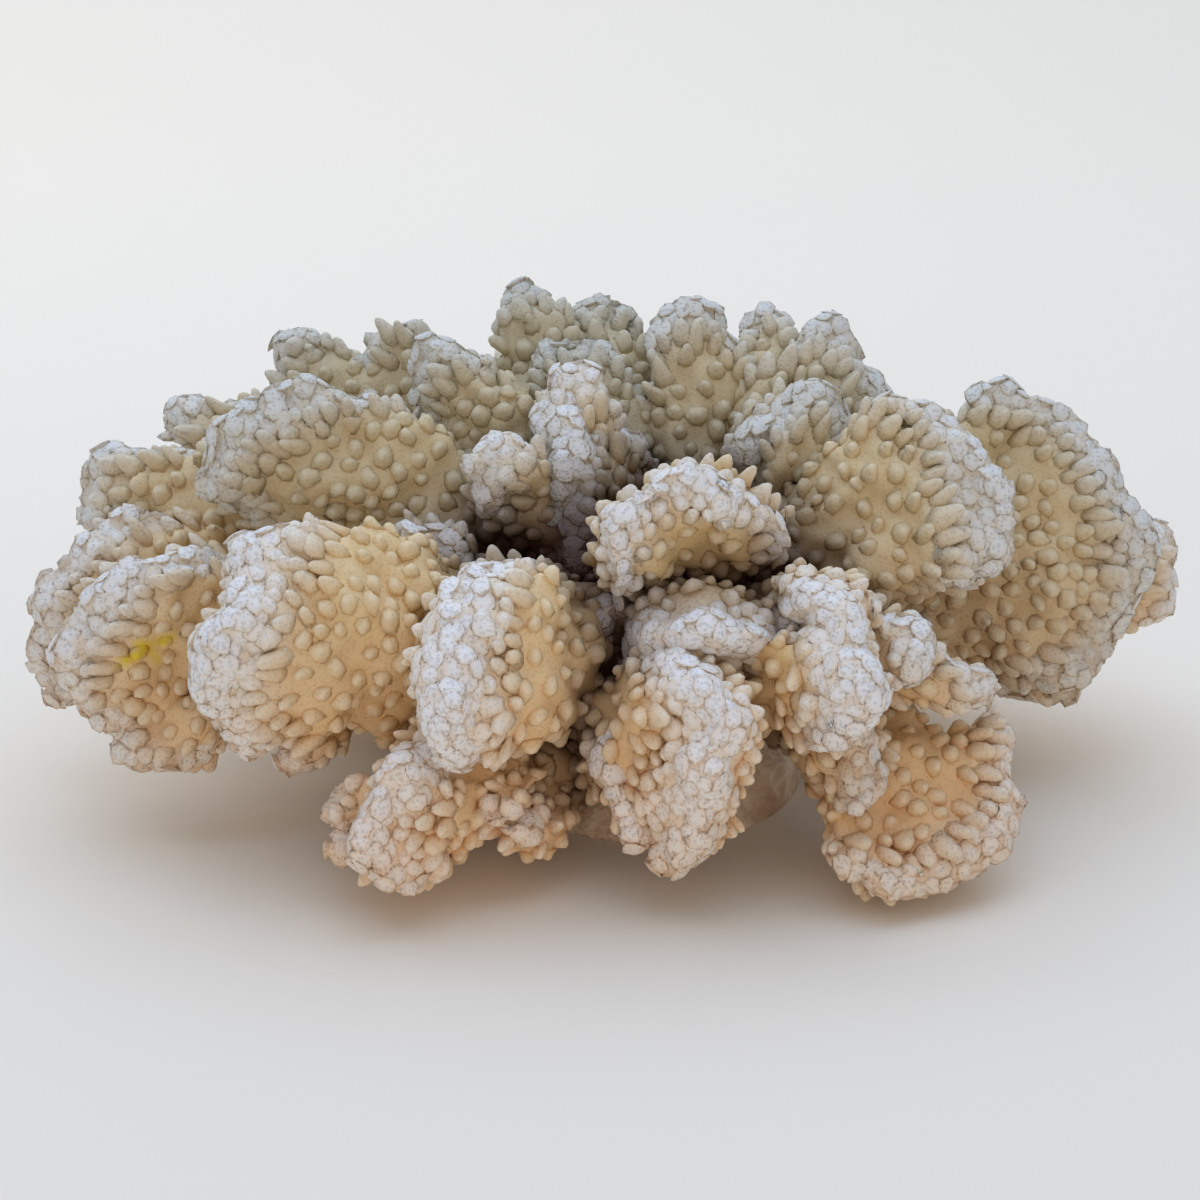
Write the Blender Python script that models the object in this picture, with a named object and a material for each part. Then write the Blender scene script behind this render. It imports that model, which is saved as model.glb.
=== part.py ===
"""Cauliflower coral: a dried, bleached colony, cut off flat where it grew on rock.

A short trunk rises from the flat cut. Main branches fork from it on all sides, and each branch
ends in one or more flattened lobes. A lobe is a sheet spread between its root and a crest line
drawn through a few chosen points; the sheet is given an oval section and a rounded rim. Every
third point of its net stands proud as a lump, for the warts that cover the real skin. Metres, +Z
up, the camera side is -Y. The origin is the middle of the flat cut.
"""

import math
from collections import namedtuple

import bmesh
import bpy
import numpy as np
from mathutils.bvhtree import BVHTree

MM = 0.001

# Driving dimensions, in millimetres
COLUMN_CELL = 16.5
ROW_CELL = 20.0
LUMP_HEIGHT = 3.0
LUMP_SINK = 0.2
ROOT_CAP = 3.0
JOINT_GAP = 0.7
GROUND_GAP = 1.0

# Shape of every lobe: how early it spreads, how full its section is, and how its rim closes,
# over a length given in thicknesses but never more than a share of the lobe
SPREAD_POWER = 1.25
SECTION_POWER = 0.85
RIM_POWER = 1.7
RIM_LENGTH = 1.1
RIM_LIMIT = 0.75

# Net of every lobe: columns come in sixes, which keeps the crest row even and the lumps regular
COLUMNS_STEP = 6
FEWEST_ROWS = 4
LUMP_EVERY = 3
FIRST_ROW = 0.3
ROW_CROWDING = 1.7
COLUMN_EVENING = 0.2
CREST_SAMPLES = 33
STEP = 1e-3

SKELETON_COLOUR = (0.86, 0.78, 0.64)
TRUNK_COLOUR = (0.42, 0.31, 0.2)
ROUGHNESS = 0.7
SMOOTH_BELOW_DEGREES = 50

TRUNK_CENTRE = (8.0, 3.0)
TRUNK_COLUMNS = 18
# Height, half width in X and half width in Y of each ring of the trunk
TRUNK_RINGS = [
    (0.0, 38.0, 42.0),
    (9.0, 36.0, 39.0),
    (20.0, 31.0, 31.0),
    (32.0, 27.0, 26.0),
    (44.0, 28.0, 26.0),
    (54.0, 23.0, 21.0),
    (60.0, 12.0, 11.0),
]
TRUNK_TOP = (6.0, 62.0)

# One lobe, all in millimetres:
#   root    where its sheet leaves the trunk or the branch below
#   crest   points that the crest line runs through, from one end of the rim to the other
#   thick   full thickness of the sheet below its rim
#   stem    full thickness and width at the root
#   sag     how far the middle of the sheet is pushed aside
Lobe = namedtuple("Lobe", "root crest thick stem sag")


def lobe(root, crest, thick, stem, sag=(0, 0, 0)):
    return Lobe(root, crest, thick, stem, sag)


BRANCHES = {
    "front_left_branch": [
        lobe(
            (-2, -14, 42),
            [
                (-29, -54, 80),
                (-36, -66, 80),
                (-40, -77, 74),
                (-43, -84, 65),
                (-43, -87, 56),
                (-41, -85, 47),
                (-38, -79, 41),
            ],
            35,
            30,
        ),
    ],
    "front_left_foot": [
        lobe(
            (-6, -16, 20),
            [(-42, -76, 45), (-51, -83, 40), (-57, -88, 31), (-57, -89, 19), (-49, -87, 11)],
            29,
            24,
        ),
        lobe((-46, -66, 27), [(-66, -66, 27), (-70, -68, 25), (-69, -68, 21)], 11, 10),
        lobe((-46, -70, 17), [(-65, -72, 19), (-69, -72, 15), (-66, -74, 11)], 11, 10),
        lobe((-8, -24, 20), [(-38, -80, 27), (-28, -78, 21), (-22, -70, 23)], 19, 20),
    ],
    "front_low_branch": [
        lobe(
            (-2, -18, 34),
            [
                (12, -70, 61),
                (18, -81, 59),
                (21, -88, 53),
                (21, -90, 44),
                (18, -88, 34),
                (15, -85, 23),
                (11, -80, 13),
            ],
            34,
            28,
        ),
        lobe((3, -20, 30), [(0, -62, 47), (-3, -68, 38), (-1, -73, 27), (4, -77, 20)], 18, 21),
    ],
    "front_middle_branch": [
        lobe(
            (12, -16, 46),
            [
                (1, -56, 76),
                (-1, -57, 89),
                (6, -54, 96),
                (17, -49, 98),
                (30, -46, 95),
                (37, -44, 87),
                (38, -42, 76),
            ],
            18,
            28,
            sag=(0, 3, 0),
        ),
        lobe((2, -28, 48), [(0, -50, 69), (-7, -50, 63), (-8, -50, 54)], 14, 18),
        lobe((12, -20, 42), [(2, -56, 62), (9, -63, 66), (19, -66, 67), (30, -64, 65), (38, -60, 61)], 30, 30),
        lobe(
            (22, -22, 46),
            [
                (37, -58, 67),
                (46, -65, 70),
                (53, -71, 68),
                (56, -77, 62),
                (55, -81, 55),
                (50, -81, 47),
                (44, -78, 43),
            ],
            30,
            28,
        ),
    ],
    "left_front_branch": [
        lobe(
            (-16, -8, 40),
            [
                (-79, -44, 81),
                (-85, -55, 84),
                (-89, -67, 76),
                (-94, -71, 62),
                (-94, -69, 48),
                (-88, -63, 38),
            ],
            34,
            28,
        ),
        lobe((-60, -32, 38), [(-83, -48, 28), (-79, -49, 23), (-72, -46, 24)], 11, 13),
        lobe((-28, -14, 44), [(-59, -34, 69), (-56, -33, 75), (-51, -30, 79), (-46, -28, 76), (-43, -27, 70)], 16, 18),
    ],
    "left_low_fan": [
        lobe(
            (-18, -6, 28),
            [
                (-100, -33, 69),
                (-110, -37, 72),
                (-122, -41, 66),
                (-131, -43, 54),
                (-131, -43, 41),
                (-121, -41, 33),
            ],
            20,
            22,
            sag=(0, 4, -2),
        ),
        lobe((-82, -25, 46), [(-122, -42, 29), (-118, -43, 23), (-110, -43, 21), (-103, -41, 25)], 14, 15),
    ],
    "left_outer_fan": [
        lobe(
            (-18, 4, 32),
            [
                (-115, -3, 72),
                (-127, -5, 70),
                (-138, -7, 63),
                (-145, -9, 52),
                (-146, -10, 41),
                (-141, -12, 30),
            ],
            18,
            22,
            sag=(0, 3, 0),
        ),
    ],
    "left_upper_fan": [
        lobe(
            (-16, 8, 42),
            [(-135, 8, 65), (-134, 12, 76), (-128, 15, 81), (-118, 18, 83), (-108, 20, 81)],
            20,
            20,
        ),
        lobe((-30, 18, 50), [(-120, 38, 78), (-116, 42, 84), (-106, 46, 86), (-96, 48, 84)], 17, 20),
    ],
    "left_high_fan": [
        lobe(
            (-12, 0, 50),
            [
                (-97, -19, 80),
                (-102, -18, 89),
                (-98, -15, 98),
                (-88, -11, 103),
                (-77, -7, 108),
                (-67, -3, 105),
                (-60, 0, 101),
            ],
            24,
            26,
            sag=(0, 3, -2),
        ),
    ],
    "middle_crown": [
        lobe(
            (2, 3, 50),
            [(-22, -2, 92), (-19, 0, 101), (-14, 2, 108), (-8, 4, 107), (-3, 5, 99), (3, 6, 90)],
            26,
            32,
        ),
        lobe((-4, 0, 56), [(-24, -14, 93), (-30, -20, 98), (-34, -24, 93), (-33, -24, 84)], 20, 24),
        lobe((2, -2, 52), [(-12, -2, 104), (-14, -16, 94), (-15, -25, 82), (-12, -30, 68)], 22, 26),
    ],
    "back_left_crown": [
        lobe((-14, 14, 52), [(-89, 44, 90), (-87, 46, 98), (-81, 46, 103), (-76, 46, 99)], 17, 20),
        lobe((-12, 16, 55), [(-67, 38, 97), (-63, 40, 105), (-55, 41, 108), (-48, 40, 104)], 19, 22),
        lobe(
            (-8, 10, 56),
            [(-54, 12, 92), (-52, 15, 103), (-47, 18, 110), (-40, 18, 107), (-37, 17, 100)],
            19,
            22,
        ),
    ],
    "back_crown": [
        lobe(
            (2, 20, 55),
            [(-34, 47, 103), (-32, 48, 110), (-27, 48, 115), (-21, 48, 113), (-18, 47, 108)],
            19,
            22,
        ),
        lobe(
            (4, 18, 56),
            [(-13, 49, 104), (-11, 50, 110), (-5, 50, 113), (0, 50, 109), (3, 47, 101)],
            19,
            22,
        ),
        lobe(
            (4, 14, 58),
            [(-21, 29, 95), (-19, 30, 104), (-13, 31, 108), (-5, 32, 107), (1, 32, 100)],
            18,
            22,
        ),
    ],
    "back_right_crown": [
        lobe(
            (20, 18, 56),
            [(10, 27, 88), (9, 30, 103), (13, 32, 113), (19, 33, 116), (25, 35, 111), (28, 35, 102)],
            21,
            28,
        ),
        lobe((34, 24, 82), [(32, 46, 106), (37, 47, 110), (43, 46, 108)], 15, 16),
        lobe(
            (30, 14, 56),
            [(38, 28, 102), (46, 28, 111), (54, 28, 111), (62, 26, 104), (68, 21, 92), (69, 17, 80)],
            22,
            28,
        ),
        lobe(
            (28, 4, 56),
            [(33, -2, 89), (37, 0, 99), (43, 2, 105), (50, 5, 105), (55, 6, 98), (58, 5, 88)],
            22,
            24,
        ),
    ],
    "right_high_branch": [
        lobe(
            (28, 0, 48),
            [
                (67, -5, 97),
                (74, -8, 103),
                (82, -14, 101),
                (88, -22, 94),
                (91, -28, 82),
                (91, -31, 71),
                (85, -31, 65),
            ],
            28,
            28,
        ),
    ],
    "right_fan": [
        lobe(
            (30, 6, 44),
            [
                (89, 16, 95),
                (101, 14, 97),
                (114, 10, 91),
                (124, 4, 79),
                (130, -2, 63),
                (128, -6, 47),
                (119, -10, 35),
                (107, -12, 31),
            ],
            20,
            28,
            sag=(0, 5, 0),
        ),
        lobe((100, 3, 46), [(96, 2, 25), (105, 0, 20), (115, -2, 24)], 14, 16),
    ],
    "right_outer_fan": [
        lobe(
            (30, 16, 34),
            [(134, 28, 60), (142, 26, 57), (145, 24, 47), (143, 22, 38), (137, 20, 31)],
            16,
            20,
        ),
    ],
    "right_low_arm": [
        lobe((26, -14, 44), [(60, -48, 64), (68, -56, 64), (71, -58, 58), (68, -56, 51)], 17, 20),
        lobe((50, -37, 50), [(79, -50, 53), (85, -53, 50), (87, -53, 45), (82, -51, 42)], 13, 16),
        lobe((28, -14, 50), [(46, -35, 61), (51, -37, 63), (55, -37, 60)], 14, 18),
    ],
    "right_foot": [
        lobe(
            (46, -34, 38),
            [
                (50, -77, 12),
                (59, -79, 9),
                (70, -77, 7),
                (82, -70, 9),
                (90, -62, 15),
                (94, -52, 24),
                (95, -43, 32),
            ],
            15,
            18,
            sag=(0, 0, -2),
        ),
    ],
    "right_front_knob": [
        lobe((32, -26, 36), [(53, -60, 38), (58, -65, 41), (61, -69, 37), (60, -72, 30), (54, -73, 26)], 20, 18),
    ],
    "rear_left_branch": [
        lobe(
            (-10, 18, 44),
            [(-66, 64, 83), (-78, 74, 81), (-88, 80, 72), (-92, 82, 58), (-86, 76, 45)],
            24,
            24,
        ),
        lobe((-14, 14, 40), [(-97, 56, 62), (-107, 58, 56), (-111, 56, 45), (-105, 50, 36)], 18, 20),
    ],
    "rear_middle_left_branch": [
        lobe(
            (-2, 22, 46),
            [(-36, 76, 84), (-42, 90, 84), (-48, 100, 75), (-50, 102, 61), (-44, 96, 48)],
            25,
            24,
        ),
        lobe((0, 20, 50), [(-12, 72, 84), (-16, 84, 81), (-19, 93, 71), (-18, 93, 57)], 20, 22),
    ],
    "rear_middle_right_branch": [
        lobe(
            (14, 24, 46),
            [(26, 76, 84), (32, 92, 83), (38, 103, 73), (39, 105, 58), (33, 98, 46)],
            25,
            24,
        ),
        lobe((20, 20, 48), [(48, 70, 84), (57, 82, 79), (63, 88, 68), (60, 84, 55)], 20, 22),
    ],
    "rear_right_branch": [
        lobe(
            (28, 18, 42),
            [(79, 52, 75), (90, 60, 75), (101, 64, 65), (103, 62, 51), (94, 55, 41)],
            22,
            24,
        ),
        lobe((30, 14, 42), [(99, 34, 72), (109, 38, 67), (113, 38, 55), (106, 34, 44)], 18, 20),
        lobe((24, 18, 52), [(49, 58, 81), (56, 63, 83), (61, 62, 76)], 15, 18),
    ],
    "rear_low_left_branch": [
        lobe((-2, 20, 24), [(-60, 70, 35), (-71, 79, 32), (-73, 81, 21), (-64, 74, 13)], 20, 22),
        lobe((-12, 12, 26), [(-92, 36, 36), (-103, 38, 31), (-102, 36, 21)], 18, 20),
    ],
    "rear_low_middle_branch": [
        lobe((6, 24, 25), [(0, 90, 44), (-2, 100, 40), (-4, 104, 28), (-2, 97, 17)], 22, 24),
    ],
    "rear_low_right_branch": [
        lobe((16, 22, 24), [(48, 80, 36), (57, 90, 32), (59, 92, 21), (50, 84, 13)], 20, 22),
        lobe((28, 14, 26), [(82, 44, 34), (92, 48, 29), (92, 46, 19)], 18, 20),
    ],
}


def smooth_step(share):
    share = np.clip(share, 0.0, 1.0)
    return share * share * (3.0 - 2.0 * share)


def unit(vectors):
    return vectors / np.linalg.norm(vectors, axis=-1, keepdims=True)


def crest_curve(points, share):
    """A smooth curve through the crest points, with share 0 at the first and 1 at the last."""
    points = np.array(points, float)
    knots = np.append(0.0, np.cumsum(np.linalg.norm(np.diff(points, axis=0), axis=1)))
    knots /= knots[-1]
    slopes = np.gradient(points, knots, axis=0)
    span = np.clip(np.searchsorted(knots, share, side="right") - 1, 0, len(knots) - 2)
    width = (knots[span + 1] - knots[span])[..., None]
    u = (share - knots[span])[..., None] / width
    near = (1 + 2 * u) * (1 - u) ** 2 * points[span] + u * (1 - u) ** 2 * width * slopes[span]
    far = u**2 * (3 - 2 * u) * points[span + 1] - u**2 * (1 - u) * width * slopes[span + 1]
    return near + far


def sheet(shape, side, along):
    """The lobe's middle sheet: side runs from 1 to -1 along the crest, along from root to crest."""
    root, sag = np.array(shape.root, float), np.array(shape.sag, float)
    first, middle, last = crest_curve(shape.crest, np.array([0.0, 0.5, 1.0]))
    spread = crest_curve(shape.crest, (1.0 - side) / 2.0) - middle
    a = along[..., None]
    grown = a**SPREAD_POWER
    stem = shape.stem / 2.0 * side[..., None] * unit(first - last)
    centre = root + a * (middle - root) + 4.0 * a * (1.0 - a) * sag
    return centre + grown * spread + (1.0 - grown) * stem


def lobe_surface(shape, angle, along):
    """Points of the lobe's skin: the sheet, set off to both sides by an oval section."""
    side = np.cos(angle)
    middle = crest_curve(shape.crest, np.array([0.5]))[0]
    length = math.dist(shape.root, middle)
    rim = min(RIM_LIMIT, RIM_LENGTH * shape.thick / length)
    grown = shape.stem + (shape.thick - shape.stem) * smooth_step(along / (1.0 - rim))
    closing = np.clip((along - 1.0 + rim) / rim, 0.0, 1.0)
    half = grown / 2.0 * (1.0 - closing**RIM_POWER) ** (1.0 / RIM_POWER)
    near_side, near_along = side * (1.0 - STEP), along * (1.0 - STEP)
    base = sheet(shape, side, along)
    tangent = sheet(shape, side, along) - sheet(shape, side, near_along - STEP)
    crossing = sheet(shape, near_side + STEP, along) - sheet(shape, near_side - STEP, along)
    normal = unit(np.cross(crossing, tangent))
    section = np.sign(np.sin(angle)) * np.abs(np.sin(angle)) ** SECTION_POWER
    return base + (section * half)[..., None] * normal


def lobe_net(shape, grow=0.0):
    """Rows of points round the lobe from root to rim, grown outwards by grow, with lumps raised."""
    dense = crest_curve(shape.crest, np.linspace(0.0, 1.0, CREST_SAMPLES))
    crest_length = np.linalg.norm(np.diff(dense, axis=0), axis=1).sum()
    middle = dense[CREST_SAMPLES // 2]
    length = math.dist(shape.root, middle)
    around = 2.0 * crest_length + shape.thick
    columns = COLUMNS_STEP * max(1, round(around / COLUMN_CELL / COLUMNS_STEP))
    rows = max(FEWEST_ROWS, round(length / ROW_CELL))
    along = 1.0 - (1.0 - (np.arange(rows) + FIRST_ROW) / rows) ** ROW_CROWDING
    angle = 2.0 * math.pi * np.arange(columns) / columns
    angle += COLUMN_EVENING * np.sin(2.0 * angle)
    side = np.cos(angle[: columns // 2 + 1])
    angle, along = np.meshgrid(angle, along)
    net = lobe_surface(shape, angle, along)
    turned = lobe_surface(shape, angle + STEP, along) - lobe_surface(shape, angle - STEP, along)
    lifted = net - lobe_surface(shape, angle, along - STEP)
    outward = unit(np.cross(lifted, turned))
    row, column = np.meshgrid(np.arange(rows), np.arange(columns), indexing="ij")
    raised = (row + 2 * column) % LUMP_EVERY == 0
    net += outward * (np.where(raised, LUMP_HEIGHT, -LUMP_SINK) + grow)[:, :, None]
    edge = np.ones_like(side)
    forward = unit(sheet(shape, side, edge) - sheet(shape, side, edge - STEP))
    raised = np.arange(len(side)) % 2 == 0
    crest = sheet(shape, side, edge)
    crest += forward * (np.where(raised, LUMP_HEIGHT, -LUMP_SINK) + grow)[:, None]
    root = np.array(shape.root, float)
    root_end = root - unit(middle - root) * (grow + ROOT_CAP)
    for points in (net, crest):
        points[..., 2] = np.maximum(points[..., 2], GROUND_GAP - grow)
    return net, root_end, crest


def object_from_net(name, net, root_end, crest):
    """A closed mesh from rows of points, the point that closes the root and the row of the crest."""
    rows, columns = net.shape[:2]
    points = np.vstack([net.reshape(-1, 3), [root_end], crest]) * MM
    root = rows * columns
    faces = []
    for i in range(columns):
        j = (i + 1) % columns
        last, crest_i, crest_j = (rows - 1) * columns, min(i, columns - i), min(j, columns - j)
        faces.append((root, j, i))
        faces.append((last + i, last + j, root + 1 + crest_i))
        faces.append((last + j, root + 1 + crest_j, root + 1 + crest_i))
        for r in range(rows - 1):
            near, far = r * columns, (r + 1) * columns
            faces.append((near + i, near + j, far + i))
            faces.append((near + j, far + j, far + i))
    mesh = bpy.data.meshes.new(name)
    mesh.from_pydata(points.tolist(), [], faces)
    shaped = bmesh.new()
    shaped.from_mesh(mesh)
    bmesh.ops.recalc_face_normals(shaped, faces=shaped.faces)
    shaped.to_mesh(mesh)
    shaped.free()
    made = bpy.data.objects.new(name, mesh)
    bpy.context.scene.collection.objects.link(made)
    return made


def trunk_object(name, grow=0.0):
    """The trunk: oval rings from the flat cut to a rounded top, lumpy above the cut."""
    angle = 2.0 * math.pi * np.arange(TRUNK_COLUMNS) / TRUNK_COLUMNS
    heights, half_x, half_y = (np.array(v) for v in zip(*TRUNK_RINGS))
    row, column = np.meshgrid(np.arange(len(heights)), np.arange(TRUNK_COLUMNS), indexing="ij")
    raised = (row + 2 * column) % LUMP_EVERY == 0
    lump = np.where(raised, LUMP_HEIGHT, -LUMP_SINK) * (row > 0) + grow
    net = np.stack(
        [
            TRUNK_CENTRE[0] + (half_x[:, None] + lump) * np.cos(angle),
            TRUNK_CENTRE[1] + (half_y[:, None] + lump) * np.sin(angle),
            np.repeat(heights[:, None], TRUNK_COLUMNS, axis=1),
        ],
        axis=-1,
    )
    ridge = np.zeros((TRUNK_COLUMNS // 2 + 1, 3)) + [*TRUNK_CENTRE, TRUNK_TOP[1] + grow]
    ridge[:, 0] += TRUNK_TOP[0] * np.cos(angle[: len(ridge)])
    return object_from_net(name, net, [*TRUNK_CENTRE, 0.0], ridge)


def combine(target, other, operation):
    """Joins other to target, or cuts it away, for good, and removes other."""
    boolean = target.modifiers.new("Boolean", "BOOLEAN")
    boolean.operation = operation
    boolean.solver = "EXACT"
    boolean.object = other
    graph = bpy.context.evaluated_depsgraph_get()
    result = bpy.data.meshes.new_from_object(target.evaluated_get(graph))
    target.modifiers.clear()
    target.data = result
    bpy.data.objects.remove(other)


def keep_largest_body(obj):
    """Drops the crumbs that a cut leaves loose."""
    shaped = bmesh.new()
    shaped.from_mesh(obj.data)
    bmesh.ops.triangulate(shaped, faces=shaped.faces)
    waiting = set(shaped.verts)
    bodies = []
    while waiting:
        body, edge_of_body = set(), [waiting.pop()]
        while edge_of_body:
            vertex = edge_of_body.pop()
            body.add(vertex)
            linked = {edge.other_vert(vertex) for edge in vertex.link_edges}
            edge_of_body.extend(linked & waiting)
            waiting -= linked
        bodies.append(body)
    bodies.sort(key=len)
    for body in bodies[:-1]:
        bmesh.ops.delete(shaped, geom=list(body), context="VERTS")
    shaped.to_mesh(obj.data)
    shaped.free()


def branch_object(name, shapes, grow=0.0):
    """A branch is one solid: its lobes joined."""
    branch = object_from_net(name, *lobe_net(shapes[0], grow))
    for number, shape in enumerate(shapes[1:]):
        combine(branch, object_from_net(f"{name}_{number}", *lobe_net(shape, grow)), "UNION")
    return branch


def surface_tree(obj):
    shaped = bmesh.new()
    shaped.from_mesh(obj.data)
    tree = BVHTree.FromBMesh(shaped)
    shaped.free()
    return tree


def skeleton_material(name, colour):
    material = bpy.data.materials.new(name)
    material.use_nodes = True
    shader = material.node_tree.nodes["Principled BSDF"]
    shader.inputs["Base Color"].default_value = (*colour, 1.0)
    shader.inputs["Roughness"].default_value = ROUGHNESS
    shader.inputs["Metallic"].default_value = 0.0
    return material


def main():
    for obj in list(bpy.data.objects):
        bpy.data.objects.remove(obj)
    trunk = trunk_object("trunk")
    trunk.data.materials.append(skeleton_material("stained_aragonite", TRUNK_COLOUR))
    finished = []
    for name, shapes in BRANCHES.items():
        branch = branch_object(name, shapes)
        combine(branch, trunk_object("trunk_cutter", JOINT_GAP), "DIFFERENCE")
        own_tree = surface_tree(branch)
        for other_name in finished:
            neighbour = branch_object(f"{other_name}_cutter", BRANCHES[other_name], JOINT_GAP)
            if own_tree.overlap(surface_tree(neighbour)):
                combine(branch, neighbour, "DIFFERENCE")
            else:
                bpy.data.objects.remove(neighbour)
        keep_largest_body(branch)
        material = skeleton_material(f"{name}_aragonite", SKELETON_COLOUR)
        branch.data.materials.clear()
        branch.data.materials.append(material)
        finished.append(name)
    for obj in bpy.data.objects:
        obj.data.shade_smooth()
        obj.data.set_sharp_from_angle(angle=math.radians(SMOOTH_BELOW_DEGREES))


main()
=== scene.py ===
# %% [markdown]
# A dried cauliflower coral, built up as a lesson in cells.
#
# The real object is one limestone skeleton. A short trunk was cut off flat where the colony grew on
# rock, and flattened lobes fork from it on all sides. Their skin carries thousands of blunt warts,
# which crowd together and turn white along the crests.
#
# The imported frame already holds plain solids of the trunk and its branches. Each one stays as it
# is, and a finely worked piece made here takes its place in the picture.

# %% Load the frame
import math
from collections import namedtuple

import bpy
import numpy as np
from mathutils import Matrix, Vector
from mathutils.bvhtree import BVHTree


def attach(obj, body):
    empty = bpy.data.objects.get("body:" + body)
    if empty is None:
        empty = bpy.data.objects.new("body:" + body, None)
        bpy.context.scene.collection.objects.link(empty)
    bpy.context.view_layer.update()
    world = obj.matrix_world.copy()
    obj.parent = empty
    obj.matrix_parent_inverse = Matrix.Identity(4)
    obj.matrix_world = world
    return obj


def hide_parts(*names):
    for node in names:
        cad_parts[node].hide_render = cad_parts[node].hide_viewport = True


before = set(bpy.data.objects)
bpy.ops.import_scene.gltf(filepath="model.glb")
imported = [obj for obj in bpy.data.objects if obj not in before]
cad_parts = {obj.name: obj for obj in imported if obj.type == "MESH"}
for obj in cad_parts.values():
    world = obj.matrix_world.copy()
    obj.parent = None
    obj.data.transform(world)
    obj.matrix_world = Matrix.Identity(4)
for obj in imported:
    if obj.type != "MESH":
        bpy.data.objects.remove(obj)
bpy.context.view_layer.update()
print("nodes in the frame:", len(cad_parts))

# %% [markdown]
# A lobe starts as a thin sheet between its root and its crest line. The crest line is a smooth
# curve through a few given points, so it can wander as the real ones do. The sheet then
# gets an oval section and a rounded rim. One rule makes every lobe, and only the numbers differ.

# %% What a lobe is given by
MM = 0.001
Lobe = namedtuple("Lobe", "root crest thick stem sag")


def lobe(root, crest, thick, stem, sag=(0, 0, 0)):
    """Root, crest line, thickness under the rim, width of the stem and a push aside, in mm."""
    return Lobe(root, crest, thick, stem, sag)


# %% [markdown]
# The plan below gives every branch its lobes, read from the photograph one after the other. Roots
# lie in or near the trunk, and crest points run along the white rims, with +X to the right, -Y
# towards the viewer and +Z up from the flat cut. The branches at the rear are hidden in the
# photograph, so they repeat the size and spacing of the others.

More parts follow.
